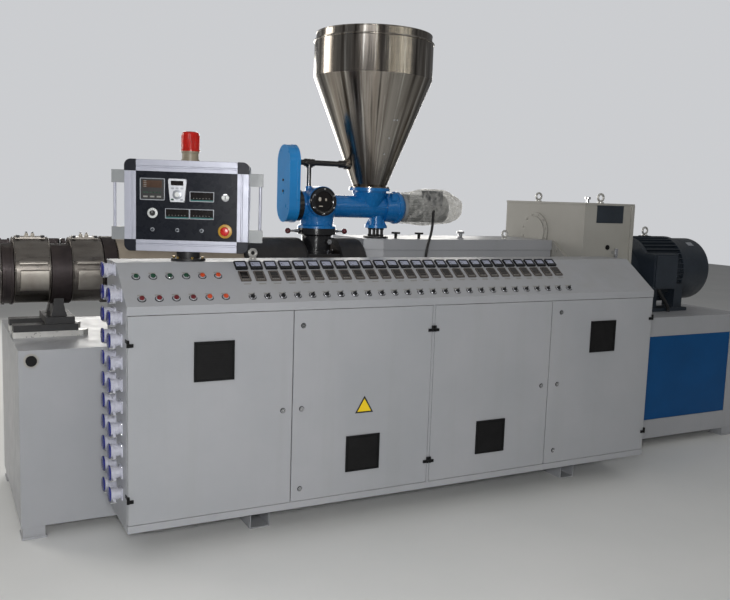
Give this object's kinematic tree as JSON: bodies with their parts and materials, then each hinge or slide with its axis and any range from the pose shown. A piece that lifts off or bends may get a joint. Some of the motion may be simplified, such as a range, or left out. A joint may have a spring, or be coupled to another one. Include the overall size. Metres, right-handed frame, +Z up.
{
  "type": "twin screw plastic extruder",
  "caption": "Twin screw plastic extruder: barrel with heater bands, feeder with hopper, gearbox and motor on a long base, behind a control cabinet with sloping console and operator panel.",
  "frame": {"origin": "on the floor, at the middle of the machine's overall length and depth", "axes": "+X along the machine from the barrel to the motor, +Y from the cabinet doors to the back, +Z up"},
  "size_m": [5.555, 1.6, 2.868],
  "materials": {
    "grey_paint": "light grey satin paint",
    "cream_paint": "warm light grey satin paint",
    "blue_panel_paint": "deep blue satin paint",
    "zinc_steel": "plated steel",
    "black_steel": "black oxide steel",
    "barrel_steel": "machined steel",
    "band_steel": "brushed stainless sheet",
    "clamp_dark": "dark cast iron",
    "shroud_sheet": "warm grey satin sheet",
    "motor_slate": "dark slate paint over cast iron",
    "cable_black": "black rubber sheath",
    "feeder_blue": "glossy blue enamel over casting",
    "guard_blue": "glossy blue paint",
    "stainless": "polished stainless sheet",
    "motor_grey": "grey paint",
    "black_plastic": "matt black plastic",
    "meter_plastic": "dark gloss plastic",
    "socket_plastic": "light grey plastic",
    "lid_blue": "deep blue plastic",
    "aluminium": "anodised extrusion",
    "panel_charcoal": "charcoal film",
    "beacon_red": "clear red plastic"
  },
  "bodies": {
    "machine": {"machine_base": "grey_paint", "base_feet": "grey_paint", "base_panels": "blue_panel_paint", "base_port": "black_plastic", "bed_rails": "zinc_steel", "barrel_carriage": "black_steel", "barrel": "barrel_steel", "heater_bands": "band_steel", "barrel_clamps": "clamp_dark", "barrel_shroud": "shroud_sheet", "feed_housing": "black_steel", "drive_cover": "grey_paint", "cover_fittings": "black_plastic", "gearbox": "cream_paint", "gearbox_fittings": "cream_paint", "drive_motor": "motor_slate", "motor_cowl": "motor_slate", "cables": "cable_black", "lifting_eyes": "zinc_steel", "feed_throat": "black_steel", "feeder_body": "feeder_blue", "feeder_fittings": "black_steel", "chain_guard": "guard_blue", "feeder_support": "black_steel", "feeder_motor": "motor_grey", "hopper": "stainless", "hopper_lid": "stainless", "cabinet_floor": "grey_paint", "cabinet_posts": "grey_paint", "centre_strip": "grey_paint", "cabinet_ends": "grey_paint", "cabinet_back": "grey_paint", "console": "grey_paint", "cabinet_feet": "grey_paint", "frame_hinges": "black_plastic", "ammeters": "meter_plastic", "controllers": "meter_plastic", "selectors": "black_plastic", "push_buttons": "zinc_steel", "sockets": "socket_plastic", "socket_lids": "lid_blue", "panel_post": "black_steel"},
    "door_1": {"door_1": "grey_paint", "door_fittings_1": "black_plastic"},
    "door_2": {"door_2": "grey_paint", "door_fittings_2": "black_plastic"},
    "door_3": {"door_3": "grey_paint", "door_fittings_3": "black_plastic"},
    "door_4": {"door_4": "grey_paint", "door_fittings_4": "black_plastic"},
    "operator_panel": {"panel_housing": "panel_charcoal", "panel_frame": "aluminium", "panel_handles": "aluminium", "panel_instruments": "meter_plastic", "beacon": "beacon_red"}
  },
  "joints": [
    {"name": "door_1_hinge", "type": "hinge", "parent": "machine", "child": "door_1", "pos_m": [-2.151, -0.793, 0.709], "axis": [0, 0, -1], "range_deg": [0, 110]},
    {"name": "door_2_hinge", "type": "hinge", "parent": "machine", "child": "door_2", "pos_m": [-0.461, -0.793, 0.709], "axis": [0, 0, 1], "range_deg": [0, 90]},
    {"name": "door_3_hinge", "type": "hinge", "parent": "machine", "child": "door_3", "pos_m": [-0.444, -0.793, 0.709], "axis": [0, 0, -1], "range_deg": [0, 90]},
    {"name": "door_4_hinge", "type": "hinge", "parent": "machine", "child": "door_4", "pos_m": [1.246, -0.793, 0.709], "axis": [0, 0, 1], "range_deg": [0, 110]},
    {"name": "panel_swivel", "type": "hinge", "parent": "machine", "child": "operator_panel", "pos_m": [-1.7605, -0.414, 1.5013], "axis": [0, 0, 1], "range_deg": [-60, 60]}
  ]
}
